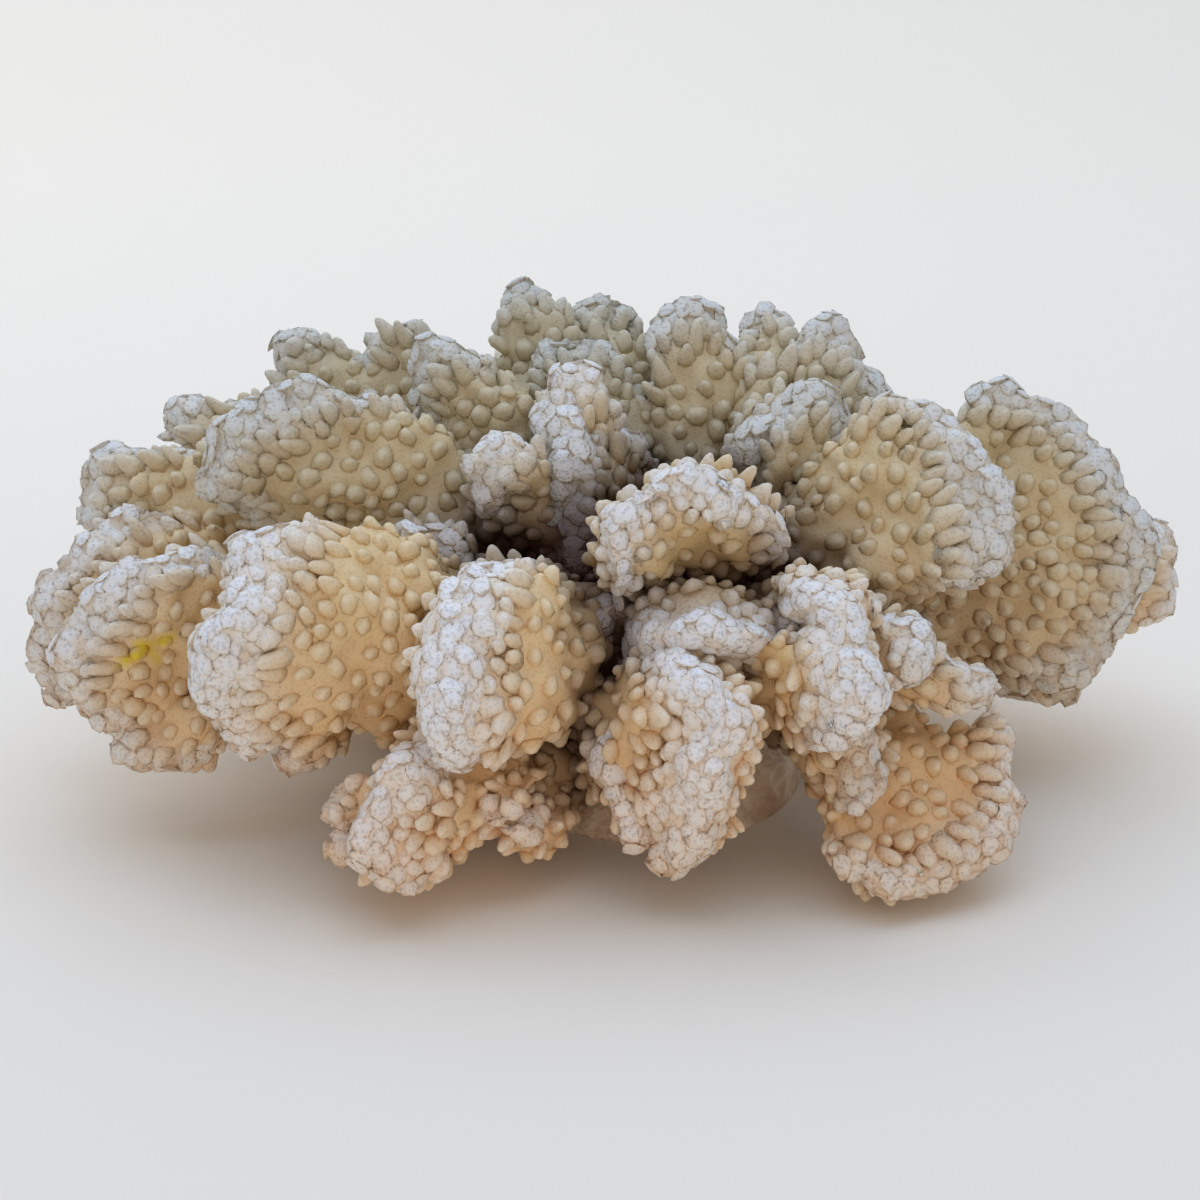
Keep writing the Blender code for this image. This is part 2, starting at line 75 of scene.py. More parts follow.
# %% The colony's plan
BRANCHES = {
    "front_left_branch": [
        lobe(
            (-2, -14, 42),
            [
                (-29, -54, 80),
                (-36, -66, 80),
                (-40, -77, 74),
                (-43, -84, 65),
                (-43, -87, 56),
                (-41, -85, 47),
                (-38, -79, 41),
            ],
            35,
            30,
        ),
    ],
    "front_left_foot": [
        lobe(
            (-6, -16, 20),
            [(-42, -76, 45), (-51, -83, 40), (-57, -88, 31), (-57, -89, 19), (-49, -87, 11)],
            29,
            24,
        ),
        lobe((-46, -66, 27), [(-66, -66, 27), (-70, -68, 25), (-69, -68, 21)], 11, 10),
        lobe((-46, -70, 17), [(-65, -72, 19), (-69, -72, 15), (-66, -74, 11)], 11, 10),
        lobe((-8, -24, 20), [(-38, -80, 27), (-28, -78, 21), (-22, -70, 23)], 19, 20),
    ],
    "front_low_branch": [
        lobe(
            (-2, -18, 34),
            [
                (12, -70, 61),
                (18, -81, 59),
                (21, -88, 53),
                (21, -90, 44),
                (18, -88, 34),
                (15, -85, 23),
                (11, -80, 13),
            ],
            34,
            28,
        ),
        lobe((3, -20, 30), [(0, -62, 47), (-3, -68, 38), (-1, -73, 27), (4, -77, 20)], 18, 21),
    ],
    "front_middle_branch": [
        lobe(
            (12, -16, 46),
            [
                (1, -56, 76),
                (-1, -57, 89),
                (6, -54, 96),
                (17, -49, 98),
                (30, -46, 95),
                (37, -44, 87),
                (38, -42, 76),
            ],
            18,
            28,
            sag=(0, 3, 0),
        ),
        lobe((2, -28, 48), [(0, -50, 69), (-7, -50, 63), (-8, -50, 54)], 14, 18),
        lobe(
            (12, -20, 42),
            [(2, -56, 62), (9, -63, 66), (19, -66, 67), (30, -64, 65), (38, -60, 61)],
            30,
            30,
        ),
        lobe(
            (22, -22, 46),
            [
                (37, -58, 67),
                (46, -65, 70),
                (53, -71, 68),
                (56, -77, 62),
                (55, -81, 55),
                (50, -81, 47),
                (44, -78, 43),
            ],
            30,
            28,
        ),
    ],
    "left_front_branch": [
        lobe(
            (-16, -8, 40),
            [
                (-79, -44, 81),
                (-85, -55, 84),
                (-89, -67, 76),
                (-94, -71, 62),
                (-94, -69, 48),
                (-88, -63, 38),
            ],
            34,
            28,
        ),
        lobe((-60, -32, 38), [(-83, -48, 28), (-79, -49, 23), (-72, -46, 24)], 11, 13),
        lobe(
            (-28, -14, 44),
            [(-59, -34, 69), (-56, -33, 75), (-51, -30, 79), (-46, -28, 76), (-43, -27, 70)],
            16,
            18,
        ),
    ],
    "left_low_fan": [
        lobe(
            (-18, -6, 28),
            [
                (-100, -33, 69),
                (-110, -37, 72),
                (-122, -41, 66),
                (-131, -43, 54),
                (-131, -43, 41),
                (-121, -41, 33),
            ],
            20,
            22,
            sag=(0, 4, -2),
        ),
        lobe(
            (-82, -25, 46),
            [(-122, -42, 29), (-118, -43, 23), (-110, -43, 21), (-103, -41, 25)],
            14,
            15,
        ),
    ],
    "left_outer_fan": [
        lobe(
            (-18, 4, 32),
            [
                (-115, -3, 72),
                (-127, -5, 70),
                (-138, -7, 63),
                (-145, -9, 52),
                (-146, -10, 41),
                (-141, -12, 30),
            ],
            18,
            22,
            sag=(0, 3, 0),
        ),
    ],
    "left_upper_fan": [
        lobe(
            (-16, 8, 42),
            [(-135, 8, 65), (-134, 12, 76), (-128, 15, 81), (-118, 18, 83), (-108, 20, 81)],
            20,
            20,
        ),
        lobe((-30, 18, 50), [(-120, 38, 78), (-116, 42, 84), (-106, 46, 86), (-96, 48, 84)], 17, 20),
    ],
    "left_high_fan": [
        lobe(
            (-12, 0, 50),
            [
                (-97, -19, 80),
                (-102, -18, 89),
                (-98, -15, 98),
                (-88, -11, 103),
                (-77, -7, 108),
                (-67, -3, 105),
                (-60, 0, 101),
            ],
            24,
            26,
            sag=(0, 3, -2),
        ),
    ],
    "middle_crown": [
        lobe(
            (2, 3, 50),
            [(-22, -2, 92), (-19, 0, 101), (-14, 2, 108), (-8, 4, 107), (-3, 5, 99), (3, 6, 90)],
            26,
            32,
        ),
        lobe((-4, 0, 56), [(-24, -14, 93), (-30, -20, 98), (-34, -24, 93), (-33, -24, 84)], 20, 24),
        lobe((2, -2, 52), [(-12, -2, 104), (-14, -16, 94), (-15, -25, 82), (-12, -30, 68)], 22, 26),
    ],
    "back_left_crown": [
        lobe((-14, 14, 52), [(-89, 44, 90), (-87, 46, 98), (-81, 46, 103), (-76, 46, 99)], 17, 20),
        lobe((-12, 16, 55), [(-67, 38, 97), (-63, 40, 105), (-55, 41, 108), (-48, 40, 104)], 19, 22),
        lobe(
            (-8, 10, 56),
            [(-54, 12, 92), (-52, 15, 103), (-47, 18, 110), (-40, 18, 107), (-37, 17, 100)],
            19,
            22,
        ),
    ],
    "back_crown": [
        lobe(
            (2, 20, 55),
            [(-34, 47, 103), (-32, 48, 110), (-27, 48, 115), (-21, 48, 113), (-18, 47, 108)],
            19,
            22,
        ),
        lobe(
            (4, 18, 56),
            [(-13, 49, 104), (-11, 50, 110), (-5, 50, 113), (0, 50, 109), (3, 47, 101)],
            19,
            22,
        ),
        lobe(
            (4, 14, 58),
            [(-21, 29, 95), (-19, 30, 104), (-13, 31, 108), (-5, 32, 107), (1, 32, 100)],
            18,
            22,
        ),
    ],
    "back_right_crown": [
        lobe(
            (20, 18, 56),
            [(10, 27, 88), (9, 30, 103), (13, 32, 113), (19, 33, 116), (25, 35, 111), (28, 35, 102)],
            21,
            28,
        ),
        lobe((34, 24, 82), [(32, 46, 106), (37, 47, 110), (43, 46, 108)], 15, 16),
        lobe(
            (30, 14, 56),
            [(38, 28, 102), (46, 28, 111), (54, 28, 111), (62, 26, 104), (68, 21, 92), (69, 17, 80)],
            22,
            28,
        ),
        lobe(
            (28, 4, 56),
            [(33, -2, 89), (37, 0, 99), (43, 2, 105), (50, 5, 105), (55, 6, 98), (58, 5, 88)],
            22,
            24,
        ),
    ],
    "right_high_branch": [
        lobe(
            (28, 0, 48),
            [
                (67, -5, 97),
                (74, -8, 103),
                (82, -14, 101),
                (88, -22, 94),
                (91, -28, 82),
                (91, -31, 71),
                (85, -31, 65),
            ],
            28,
            28,
        ),
    ],
    "right_fan": [
        lobe(
            (30, 6, 44),
            [
                (89, 16, 95),
                (101, 14, 97),
                (114, 10, 91),
                (124, 4, 79),
                (130, -2, 63),
                (128, -6, 47),
                (119, -10, 35),
                (107, -12, 31),
            ],
            20,
            28,
            sag=(0, 5, 0),
        ),
        lobe((100, 3, 46), [(96, 2, 25), (105, 0, 20), (115, -2, 24)], 14, 16),
    ],
    "right_outer_fan": [
        lobe(
            (30, 16, 34),
            [(134, 28, 60), (142, 26, 57), (145, 24, 47), (143, 22, 38), (137, 20, 31)],
            16,
            20,
        ),
    ],
    "right_low_arm": [
        lobe((26, -14, 44), [(60, -48, 64), (68, -56, 64), (71, -58, 58), (68, -56, 51)], 17, 20),
        lobe((50, -37, 50), [(79, -50, 53), (85, -53, 50), (87, -53, 45), (82, -51, 42)], 13, 16),
        lobe((28, -14, 50), [(46, -35, 61), (51, -37, 63), (55, -37, 60)], 14, 18),
    ],
    "right_foot": [
        lobe(
            (46, -34, 38),
            [
                (50, -77, 12),
                (59, -79, 9),
                (70, -77, 7),
                (82, -70, 9),
                (90, -62, 15),
                (94, -52, 24),
                (95, -43, 32),
            ],
            15,
            18,
            sag=(0, 0, -2),
        ),
    ],
    "right_front_knob": [
        lobe(
            (32, -26, 36),
            [(53, -60, 38), (58, -65, 41), (61, -69, 37), (60, -72, 30), (54, -73, 26)],
            20,
            18,
        ),
    ],
    "rear_left_branch": [
        lobe(
            (-10, 18, 44),
            [(-66, 64, 83), (-78, 74, 81), (-88, 80, 72), (-92, 82, 58), (-86, 76, 45)],
            24,
            24,
        ),
        lobe((-14, 14, 40), [(-97, 56, 62), (-107, 58, 56), (-111, 56, 45), (-105, 50, 36)], 18, 20),
    ],
    "rear_middle_left_branch": [
        lobe(
            (-2, 22, 46),
            [(-36, 76, 84), (-42, 90, 84), (-48, 100, 75), (-50, 102, 61), (-44, 96, 48)],
            25,
            24,
        ),
        lobe((0, 20, 50), [(-12, 72, 84), (-16, 84, 81), (-19, 93, 71), (-18, 93, 57)], 20, 22),
    ],
    "rear_middle_right_branch": [
        lobe(
            (14, 24, 46),
            [(26, 76, 84), (32, 92, 83), (38, 103, 73), (39, 105, 58), (33, 98, 46)],
            25,
            24,
        ),
        lobe((20, 20, 48), [(48, 70, 84), (57, 82, 79), (63, 88, 68), (60, 84, 55)], 20, 22),
    ],
    "rear_right_branch": [
        lobe(
            (28, 18, 42),
            [(79, 52, 75), (90, 60, 75), (101, 64, 65), (103, 62, 51), (94, 55, 41)],
            22,
            24,
        ),
        lobe((30, 14, 42), [(99, 34, 72), (109, 38, 67), (113, 38, 55), (106, 34, 44)], 18, 20),
        lobe((24, 18, 52), [(49, 58, 81), (56, 63, 83), (61, 62, 76)], 15, 18),
    ],
    "rear_low_left_branch": [
        lobe((-2, 20, 24), [(-60, 70, 35), (-71, 79, 32), (-73, 81, 21), (-64, 74, 13)], 20, 22),
        lobe((-12, 12, 26), [(-92, 36, 36), (-103, 38, 31), (-102, 36, 21)], 18, 20),
    ],
    "rear_low_middle_branch": [
        lobe((6, 24, 25), [(0, 90, 44), (-2, 100, 40), (-4, 104, 28), (-2, 97, 17)], 22, 24),
    ],
    "rear_low_right_branch": [
        lobe((16, 22, 24), [(48, 80, 36), (57, 90, 32), (59, 92, 21), (50, 84, 13)], 20, 22),
        lobe((28, 14, 26), [(82, 44, 34), (92, 48, 29), (92, 46, 19)], 18, 20),
    ],
}
print("lobes in the plan:", sum(len(lobes) for lobes in BRANCHES.values()))

# %% [markdown]
# Three curves make a lobe from those numbers. The crest is a cubic through its points, so a few
# points are enough. The sheet spreads from a narrow stem to the full crest, because the real
# lobes are fans. The section is a little boxier than an oval, and it closes in a rounded rim.

# %% Curves and small sums that the shapes share
SPREAD_POWER = 1.25
SECTION_POWER = 0.85
RIM_POWER = 1.6
RIM_LENGTH = 1.2
RIM_LIMIT = 0.75
STEP = 1e-3


def smooth_step(value, low=0.0, high=1.0):
    """0 below low, 1 above high, and an S curve between them."""
    share = np.clip((value - low) / (high - low), 0.0, 1.0)
    return share * share * (3.0 - 2.0 * share)


def unit(vectors):
    """Each vector divided by its own length."""
    return vectors / np.maximum(np.linalg.norm(vectors, axis=-1, keepdims=True), 1e-12)


def crest_curve(points, share):
    """A cubic through the crest points, with slopes from their neighbours; share is 0 to 1."""
    points = np.array(points, float)
    knots = np.append(0.0, np.cumsum(np.linalg.norm(np.diff(points, axis=0), axis=1)))
    knots /= knots[-1]
    slopes = np.gradient(points, knots, axis=0)
    span = np.clip(np.searchsorted(knots, share, side="right") - 1, 0, len(knots) - 2)
    width = (knots[span + 1] - knots[span])[..., None]
    u = (share - knots[span])[..., None] / width
    near = (1 + 2 * u) * (1 - u) ** 2 * points[span] + u * (1 - u) ** 2 * width * slopes[span]
    far = u**2 * (3 - 2 * u) * points[span + 1] - u**2 * (1 - u) * width * slopes[span + 1]
    return near + far


def sheet(shape, side, along):
    """Root plus along times the way to the crest's middle, plus the crest's spread times along
    to a power, plus the stem's half width where the crest hasn't spread yet."""
    root, sag = np.array(shape.root, float), np.array(shape.sag, float)
    first, middle, last = crest_curve(shape.crest, np.array([0.0, 0.5, 1.0]))
    spread = crest_curve(shape.crest, (1.0 - side) / 2.0) - middle
    a = along[..., None]
    grown = a**SPREAD_POWER
    stem = shape.stem / 2.0 * side[..., None] * unit(first - last)
    centre = root + a * (middle - root) + 4.0 * a * (1.0 - a) * sag
    return centre + grown * spread + (1.0 - grown) * stem


def lobe_surface(shape, angle, along):
    """The sheet, plus its normal times half the thickness times the sine of the angle."""
    side = np.cos(angle)
    length = math.dist(shape.root, crest_curve(shape.crest, np.array([0.5]))[0])
    rim = min(RIM_LIMIT, RIM_LENGTH * shape.thick / length)
    grown = shape.stem + (shape.thick - shape.stem) * smooth_step(along / (1.0 - rim))
    closing = np.clip((along - 1.0 + rim) / rim, 0.0, 1.0)
    half = grown / 2.0 * (1.0 - closing**RIM_POWER) ** (1.0 / RIM_POWER)
    near_side, near_along = side * (1.0 - STEP), along * (1.0 - STEP)
    base = sheet(shape, side, along)
    tangent = base - sheet(shape, side, near_along - STEP)
    crossing = sheet(shape, near_side + STEP, along) - sheet(shape, near_side - STEP, along)
    section = np.sign(np.sin(angle)) * np.abs(np.sin(angle)) ** SECTION_POWER
    return base + (section * half)[..., None] * unit(np.cross(crossing, tangent))


# %% [markdown]
# The real skin is never smooth: it swells and dips over a centimetre or two, and again over a few
# millimetres. A sum of sine waves in many directions does that. It needs no stored noise, it is
# the same on every run, and it can be worked out for any array of points at once.

# %% Swells of the skin
WAVES = 14


def swells(points, wavelength, seed):
    """The mean of sine waves that run in random directions, about -1 to 1."""
    dice = np.random.default_rng(seed)
    directions = unit(dice.normal(size=(WAVES, 3))) * (2.0 * math.pi / wavelength)
    directions *= dice.uniform(0.7, 1.4, size=(WAVES, 1))
    phases = dice.uniform(0.0, 2.0 * math.pi, WAVES)
    return np.sin(points @ directions.T + phases).mean(axis=-1) * math.sqrt(WAVES / 2.0)


# %% [markdown]
# The skin of a lobe is a grid. One parameter runs round the section, the other from root to rim.
# At the rim the front and back halves share one row of points, so the seam is closed, and one
# point closes the root. The whole colony also drifts a little from its plan over a hand's width,
# so that no outline is a clean arc. Later steps need to know, at each point, which way is out,
# which way the lobe grew, how far the crest line is, and how deep in the colony the point lies.

# %% Skin of one lobe
SKIN_CELL = 2.1
FIRST_ROW = 0.3
ROW_CROWDING = 1.35
COLUMN_EVENING = 0.2
ROOT_CAP = 3.0
CREST_SAMPLES = 65
WANDER_WAVE = 42.0
WANDER_SEED = 900
SWELL, SWELL_WAVE = 2.4, 19.0
RIPPLE, RIPPLE_WAVE = 1.1, 8.0
GROUND_GAP = 1.2
WANDER = 2.6
BARE_CENTRE = np.array([19.0, -62.0, 76.0])
BARE_REACH = np.array([24.0, 22.0, 22.0])
HEART = np.array([3.0, -10.0, 42.0])
HEART_STRETCH = np.array([0.8, 1.0, 1.1])


def triangle_normals(points, triangles):
    """Normals of the triangles, as long as twice their area."""
    a, b, c = (points[triangles[:, k]] for k in range(3))
    return np.cross(b - a, c - a)


def point_normals(points, triangles):
    """At each point, the sum of the normals of its triangles, made one long."""
    total = np.zeros_like(points)
    faces = triangle_normals(points, triangles)
    for k in range(3):
        np.add.at(total, triangles[:, k], faces)
    return unit(total)


def net_triangles(rows, columns):
    """Triangles of a grid closed round its columns, with a root point and a shared rim row."""
    r, i = np.meshgrid(np.arange(rows - 1), np.arange(columns), indexing="ij")
    j = (i + 1) % columns
    near, far = r * columns, (r + 1) * columns
    lower = np.stack([near + i, near + j, far + i], axis=-1).reshape(-1, 3)
    upper = np.stack([near + j, far + j, far + i], axis=-1).reshape(-1, 3)
    i = np.arange(columns)
    j = (i + 1) % columns
    root, last = rows * columns, (rows - 1) * columns
    rim_i, rim_j = (root + 1 + np.minimum(k, columns - k) for k in (i, j))
    cap = np.stack([np.full(columns, root), j, i], axis=-1)
    close_low = np.stack([last + i, last + j, rim_i], axis=-1)
    close_high = np.stack([last + j, rim_j, rim_i], axis=-1)
    return np.vstack([lower, upper, cap, close_low, close_high])


def bare_face(points):
    """1 on the smooth hollow face in the middle of the front, fading to 0 around it."""
    return 1.0 - smooth_step(np.linalg.norm((points - BARE_CENTRE) / BARE_REACH, axis=1), 0.55, 1.0)


def lobe_skin(shape, seed):
    """The lobe's grid, swollen along its normals, with what later steps need at each point."""
    root, thick = np.array(shape.root, float), shape.thick
    dense = crest_curve(shape.crest, np.linspace(0.0, 1.0, CREST_SAMPLES))
    tip = dense[CREST_SAMPLES // 2]
    crest_length = np.linalg.norm(np.diff(dense, axis=0), axis=1).sum()
    length = math.dist(root, tip)
    columns = 2 * round((crest_length + thick) / SKIN_CELL)
    rows = round((length + thick / 2.0) / SKIN_CELL)
    along = 1.0 - (1.0 - (np.arange(rows) + FIRST_ROW) / rows) ** ROW_CROWDING
    angle = 2.0 * math.pi * np.arange(columns) / columns
    angle += COLUMN_EVENING * np.sin(2.0 * angle)
    side = np.cos(angle[: columns // 2 + 1])
    angle, along = np.meshgrid(angle, along)
    edge = np.ones_like(side)
    rim = sheet(shape, side, edge)
    start = root - unit(tip - root) * ROOT_CAP
    points = np.vstack([lobe_surface(shape, angle, along).reshape(-1, 3), [start], rim])
    triangles = net_triangles(rows, columns)
    if np.einsum("ij,ij->", points[triangles[:, 0]], triangle_normals(points, triangles)) < 0:
        triangles = triangles[:, ::-1]
    growth = lobe_surface(shape, angle, along) - lobe_surface(shape, angle, along - STEP)
    rim_growth = rim - sheet(shape, side, edge - STEP)
    growth = unit(np.vstack([growth.reshape(-1, 3), [tip - root], rim_growth]))
    over_rim = sheet(shape, np.cos(angle), np.ones_like(angle)).reshape(-1, 3)
    over_rim = np.vstack([over_rim, [tip], rim])
    from_crest = np.linalg.norm(points - over_rim, axis=1)
    from_root = np.linalg.norm(points - root, axis=1)
    free = smooth_step(from_root, 20.0, 70.0)[:, None]
    drift = np.stack([swells(points, WANDER_WAVE, WANDER_SEED + k) for k in range(3)], axis=1)
    points = points + WANDER * free * drift
    outward = point_normals(points, triangles)
    height = SWELL * swells(points, SWELL_WAVE, seed) + RIPPLE * swells(points, RIPPLE_WAVE, seed + 1)
    points = points + outward * height[:, None]
    points[:, 2] = np.maximum(points[:, 2], GROUND_GAP)
    return {
        "points": points,
        "triangles": triangles,
        "outward": point_normals(points, triangles),
        "growth": growth,
        "flank": smooth_step(from_crest, 0.24 * thick, 0.5 * thick + 8.0),
        "pale": 1.0 - smooth_step(from_crest, 0.0, 0.45 * thick + 9.0),
        "bare": bare_face(points),
        "from_root": from_root,
        "from_heart": np.linalg.norm((points - HEART) * HEART_STRETCH, axis=1),
    }


skins = {}
for number, (node, lobes) in enumerate(BRANCHES.items()):
    skins[node] = [lobe_skin(shape, 100 * number + k) for k, shape in enumerate(lobes)]
print("triangles of bare skin:", sum(len(s["triangles"]) for group in skins.values() for s in group))

# %% [markdown]
# The trunk is turned from a table of rings, like a vase, then swollen in the same way. Each ring
# is a height and the half widths along X and Y. Its underside is the flat cut, which must stay
# flat, so the swelling fades out towards it.

# %% Skin of the trunk
TRUNK_CENTRE = np.array([8.0, 3.0])
TRUNK_RINGS = np.array(
    [
        (0.0, 38.0, 42.0),
        (9.0, 36.0, 39.0),
        (20.0, 31.0, 31.0),
        (32.0, 27.0, 26.0),
        (44.0, 28.0, 26.0),
        (54.0, 23.0, 21.0),
        (60.0, 12.0, 11.0),
    ]
)
TRUNK_TOP = 62.0
RIDGE_HALF = 6.0
TRUNK_COLUMNS = 120
WALL_ROWS = 44
DISC_ROWS = 12


def trunk_skin():
    """Rings whose half widths follow the table, with a flat disc under them and a closed top."""
    columns = TRUNK_COLUMNS
    disc = np.linspace(0.08, 0.96, DISC_ROWS)
    height = np.append(np.zeros(DISC_ROWS), np.linspace(0.0, TRUNK_RINGS[-1, 0], WALL_ROWS))
    shrink = np.append(disc, np.ones(WALL_ROWS))
    half_x = np.interp(height, TRUNK_RINGS[:, 0], TRUNK_RINGS[:, 1]) * shrink
    half_y = np.interp(height, TRUNK_RINGS[:, 0], TRUNK_RINGS[:, 2]) * shrink
    angle = 2.0 * math.pi * np.arange(columns) / columns
    grid = np.stack(
        [
            TRUNK_CENTRE[0] + half_x[:, None] * np.cos(angle),
            TRUNK_CENTRE[1] + half_y[:, None] * np.sin(angle),
            np.repeat(height[:, None], columns, axis=1),
        ],
        axis=-1,
    )
    rows = len(height)
    ridge = np.repeat([[*TRUNK_CENTRE, TRUNK_TOP]], columns // 2 + 1, axis=0)
    ridge[:, 0] += RIDGE_HALF * np.cos(angle[: len(ridge)])
    points = np.vstack([grid.reshape(-1, 3), [[*TRUNK_CENTRE, 0.0]], ridge])
    triangles = net_triangles(rows, columns)
    outward = point_normals(points, triangles)
    outward[:, 2] *= smooth_step(points[:, 2], 0.0, 6.0)
    rise = 3.4 * swells(points * [1, 1, 0.6], 17.0, 7) + 0.9 * swells(points, 5.0, 8)
    rise = np.minimum(rise, 2.2)
    rise *= smooth_step(points[:, 2], 0.0, 5.0)
    return points + outward * rise[:, None], triangles


trunk_points, trunk_triangles = trunk_skin()
print("trunk triangles:", len(trunk_triangles))

# %% [markdown]
# Warts never sit on a lattice, but they do keep their distance from each other. The usual way to
# get that is dart throwing: scatter many darts by area, then let each one that comes first in a
# random order knock out all the others within reach. The reach is small on the crests and large
# on the flanks. Darts inside another lobe are taken away first, because nothing grows there.

# %% Places of the warts
DART_AREA = 2.2
CREST_SPACING = 2.9
FLANK_SPACING = 4.5
BARE_STEM = 14.0


def buried(points, trees, margin=0.4):
    """True where a point lies inside one of the closed skins."""
    inside = np.zeros(len(points), bool)
    for tree, low, high in trees:
        close = np.all((points > low) & (points < high), axis=1) & ~inside
        for k in np.flatnonzero(close):
            spot, normal, _, _ = tree.find_nearest(points[k].tolist())
            inside[k] = (Vector(points[k]) - spot).dot(normal) < -margin
    return inside


def keep_apart(points, reach):
    """The darts that stay: each is the first of all those still standing within its reach."""
    reach = reach.astype(np.float32)
    spot = points.astype(np.float32)
    square = (spot**2).sum(axis=1)
    gap = square[:, None] + square[None, :] - 2.0 * spot @ spot.T
    clash = gap < ((reach[:, None] + reach[None, :]) / 2.0) ** 2
    standing = np.ones(len(points), bool)
    kept = np.zeros(len(points), bool)
    order = np.arange(len(points))
    while standing.any():
        first = np.argmax(clash & standing[None, :], axis=1)
        chosen = standing & (first == order)
        kept |= chosen
        standing &= ~clash[chosen].any(axis=0)
    return kept


def wart_sites(skin, trees, dice):
    """Darts spread by area over a skin, thinned so that neighbours keep their distance."""
    points, triangles = skin["points"], skin["triangles"]
    area = np.linalg.norm(triangle_normals(points, triangles), axis=1) / 2.0
    count = int(area.sum() / DART_AREA)
    chosen = triangles[dice.choice(len(triangles), count, p=area / area.sum())]
    u, v = dice.random((2, count))
    u, v = np.where(u + v > 1.0, 1.0 - u, u), np.where(u + v > 1.0, 1.0 - v, v)
    weights = np.stack([1.0 - u - v, u, v], axis=1)
    site = {}
    for name in ("points", "outward", "growth", "flank", "pale", "bare", "from_root", "from_heart"):
        share = weights[..., None] if skin[name].ndim == 2 else weights
        site[name] = (skin[name][chosen] * share).sum(axis=1)
    site["outward"] = unit(site["outward"])
    open_air = ~buried(site["points"], trees) & (site["from_root"] > BARE_STEM)
    site = {name: values[open_air] for name, values in site.items()}
    reach = CREST_SPACING + (FLANK_SPACING - CREST_SPACING) * site["flank"]
    reach *= dice.uniform(0.9, 1.15, len(reach))
    kept = keep_apart(site["points"], reach)
    return {name: values[kept] for name, values in site.items()}


def skin_tree(points, triangles):
    """A search tree of a closed skin, with the corners of its box."""
    tree = BVHTree.FromPolygons(points.tolist(), triangles.tolist())
    return tree, points.min(axis=0), points.max(axis=0)


trunk_tree = skin_tree(trunk_points, trunk_triangles)
trees = {}
for node, group in skins.items():
    for k, skin in enumerate(group):
        trees[node, k] = skin_tree(skin["points"], skin["triangles"])
dice = np.random.default_rng(11)
sites = {}
for node, group in skins.items():
    for k, skin in enumerate(group):
        others = [tree for key, tree in trees.items() if key != (node, k)] + [trunk_tree]
        sites[node, k] = wart_sites(skin, others, dice)
print("warts:", sum(len(s["points"]) for s in sites.values()))

# %% [markdown]
# One wart is a small turned shape: a flared foot sunk in the skin, a shoulder and a blunt top. On
# the crests it is a low dome, and away from them it grows into a finger. Each copy is squeezed a
# little in its own way and leans towards the rim, as the real ones do. The axis of a ring turns
# from the skin's own direction at the foot to the wart's at the top, so no foot lifts off. All
# copies of a piece are worked out as one array, sites by rings by columns.

# %% Warts
WART_COLUMNS = 7
WART_LEVELS = np.array([0.0, 0.0, 0.35, 0.75, 0.96])
FINGER_RADII = np.array([0.6, 1.5, 1.08, 0.84, 0.46])
DOME_RADII = np.array([0.6, 1.45, 1.12, 0.74, 0.3])
WART_TOP = 1.05
FOOT_DEPTH = 1.0
FLANK_RADIUS = 1.75
CREST_RADIUS = 1.9


def wart_triangles():
    """Rings joined in pairs, the first ring to the bottom point and the last to the top point."""
    rings = len(WART_LEVELS)
    r, i = np.meshgrid(np.arange(rings - 1), np.arange(WART_COLUMNS), indexing="ij")
    j = (i + 1) % WART_COLUMNS
    near, far = r * WART_COLUMNS, (r + 1) * WART_COLUMNS
    lower = np.stack([near + i, near + j, far + i], axis=-1).reshape(-1, 3)
    upper = np.stack([near + j, far + j, far + i], axis=-1).reshape(-1, 3)
    i = np.arange(WART_COLUMNS)
    j = (i + 1) % WART_COLUMNS
    last, end = (rings - 1) * WART_COLUMNS, np.full(WART_COLUMNS, rings * WART_COLUMNS)
    top = np.stack([last + i, last + j, end], axis=-1)
    bottom = np.stack([j, i, end + 1], axis=-1)
    return np.vstack([lower, upper, top, bottom])


